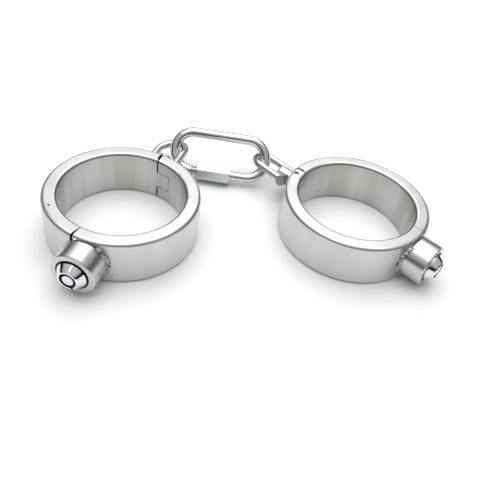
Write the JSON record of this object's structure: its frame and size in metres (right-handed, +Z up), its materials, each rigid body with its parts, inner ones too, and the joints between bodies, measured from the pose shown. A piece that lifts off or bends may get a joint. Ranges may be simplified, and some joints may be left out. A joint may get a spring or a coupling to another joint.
{
  "type": "wrist restraint pair",
  "caption": "Pair of hinged steel wrist cuffs with push-in tubular key locks, joined through swivelling shackles by a screw-sleeve quick link.",
  "frame": {"origin": "centre of the bounding box on the surface the cuffs lie on, at rest", "axes": "+X from the left cuff to the right cuff, +Y towards the quick link, +Z up through the cuffs"},
  "size_m": [0.2022, 0.1156, 0.0264],
  "materials": {
    "band_steel": "satin",
    "housing_steel": "satin",
    "pin_steel": "satin",
    "weld": "rough, as welded",
    "lock_chrome": "polished",
    "lock_core": "polished",
    "tumbler_brass": "satin",
    "spring_steel": "satin",
    "shackle_steel": "satin",
    "link_zinc": "bright zinc",
    "sleeve_zinc": "bright zinc"
  },
  "bodies": {
    "left_anchor": {"left_anchor_half": "band_steel", "left_swivel_stud": "shackle_steel"},
    "left_lock_half": {"left_lock_half": "band_steel", "left_hinge_pin": "pin_steel", "left_lock_housing": "housing_steel", "left_weld_bead": "weld", "left_return_spring": "spring_steel", "left_retaining_pin": "pin_steel"},
    "left_lock": {"left_lock_body": "lock_chrome", "left_lock_bolt": "pin_steel"},
    "left_core": {"left_key_core": "lock_core", "left_tumbler_pins": "tumbler_brass"},
    "left_collar": {"left_swivel_collar": "shackle_steel", "left_trunnion_pins": "pin_steel"},
    "left_bow": {"left_bow": "shackle_steel"},
    "link": {"quick_link": "link_zinc"},
    "sleeve": {"screw_sleeve": "sleeve_zinc"},
    "right_bow": {"right_bow": "shackle_steel"},
    "right_collar": {"right_swivel_collar": "shackle_steel", "right_trunnion_pins": "pin_steel"},
    "right_anchor": {"right_anchor_half": "band_steel", "right_swivel_stud": "shackle_steel"},
    "right_lock_half": {"right_lock_half": "band_steel", "right_hinge_pin": "pin_steel", "right_lock_housing": "housing_steel", "right_weld_bead": "weld", "right_return_spring": "spring_steel", "right_retaining_pin": "pin_steel"},
    "right_lock": {"right_lock_body": "lock_chrome", "right_lock_bolt": "pin_steel"},
    "right_core": {"right_key_core": "lock_core", "right_tumbler_pins": "tumbler_brass"}
  },
  "joints": [
    {"name": "left_opening", "type": "hinge", "parent": "left_anchor", "child": "left_lock_half", "pos_m": [-0.0393, 0.02126, 0.0125], "axis": [0, 0, 1], "range_deg": [0, 50]},
    {"name": "left_lock_push", "type": "slide", "parent": "left_lock_half", "child": "left_lock", "axis": [0.4051, 0.9143, 0], "range_m": [0, 0.0034], "stiffness_N_per_m": 400, "springref_m": -0.004},
    {"name": "left_key_turn", "type": "hinge", "parent": "left_lock", "child": "left_core", "pos_m": [-0.08392, -0.05576, 0.0125], "axis": [-0.4051, -0.9143, 0], "range_deg": [0, 90]},
    {"name": "left_swivel", "type": "hinge", "parent": "left_anchor", "child": "left_collar", "pos_m": [-0.04368, 0.03282, 0.0125], "axis": [0.4242, 0.9056, 0], "continuous": true},
    {"name": "left_bow_pivot", "type": "hinge", "parent": "left_collar", "child": "left_bow", "pos_m": [-0.04368, 0.03282, 0.0125], "axis": [-0.8858, 0.4149, -0.2079], "range_deg": [-35, 35]},
    {"name": "left_link_swing", "type": "hinge", "parent": "left_bow", "child": "link", "pos_m": [-0.03402, 0.0489, 0.01694], "axis": [0.3559, 0.4962, 0.7919], "range_deg": [-20, 35]},
    {"name": "sleeve_turn", "type": "hinge", "parent": "link", "child": "sleeve", "pos_m": [-0.01199, 0.0366, 0.00563], "axis": [0.982, -0.1891, 0], "continuous": true},
    {"name": "right_link_swing", "type": "hinge", "parent": "link", "child": "right_bow", "pos_m": [0.01736, 0.03622, 0.01303], "axis": [-0.2815, -0.5206, -0.8061], "range_deg": [-35, 35]},
    {"name": "right_bow_pivot", "type": "hinge", "parent": "right_bow", "child": "right_collar", "pos_m": [0.03112, 0.02573, 0.0125], "axis": [0.7132, 0.6445, -0.2756], "range_deg": [-35, 35]},
    {"name": "right_swivel", "type": "hinge", "parent": "right_collar", "child": "right_anchor", "pos_m": [0.03112, 0.02573, 0.0125], "axis": [-0.6704, 0.742, 0], "continuous": true},
    {"name": "right_opening", "type": "hinge", "parent": "right_anchor", "child": "right_lock_half", "pos_m": [0.03031, 0.01339, 0.0125], "axis": [0, 0, 1], "range_deg": [-50, 0]},
    {"name": "right_lock_push", "type": "slide", "parent": "right_lock_half", "child": "right_lock", "axis": [-0.6547, 0.7559, 0], "range_m": [0, 0.0034], "stiffness_N_per_m": 400, "springref_m": -0.004},
    {"name": "right_key_turn", "type": "hinge", "parent": "right_lock", "child": "right_core", "pos_m": [0.0955, -0.04722, 0.0125], "axis": [0.6547, -0.7559, 0], "range_deg": [0, 90]}
  ]
}
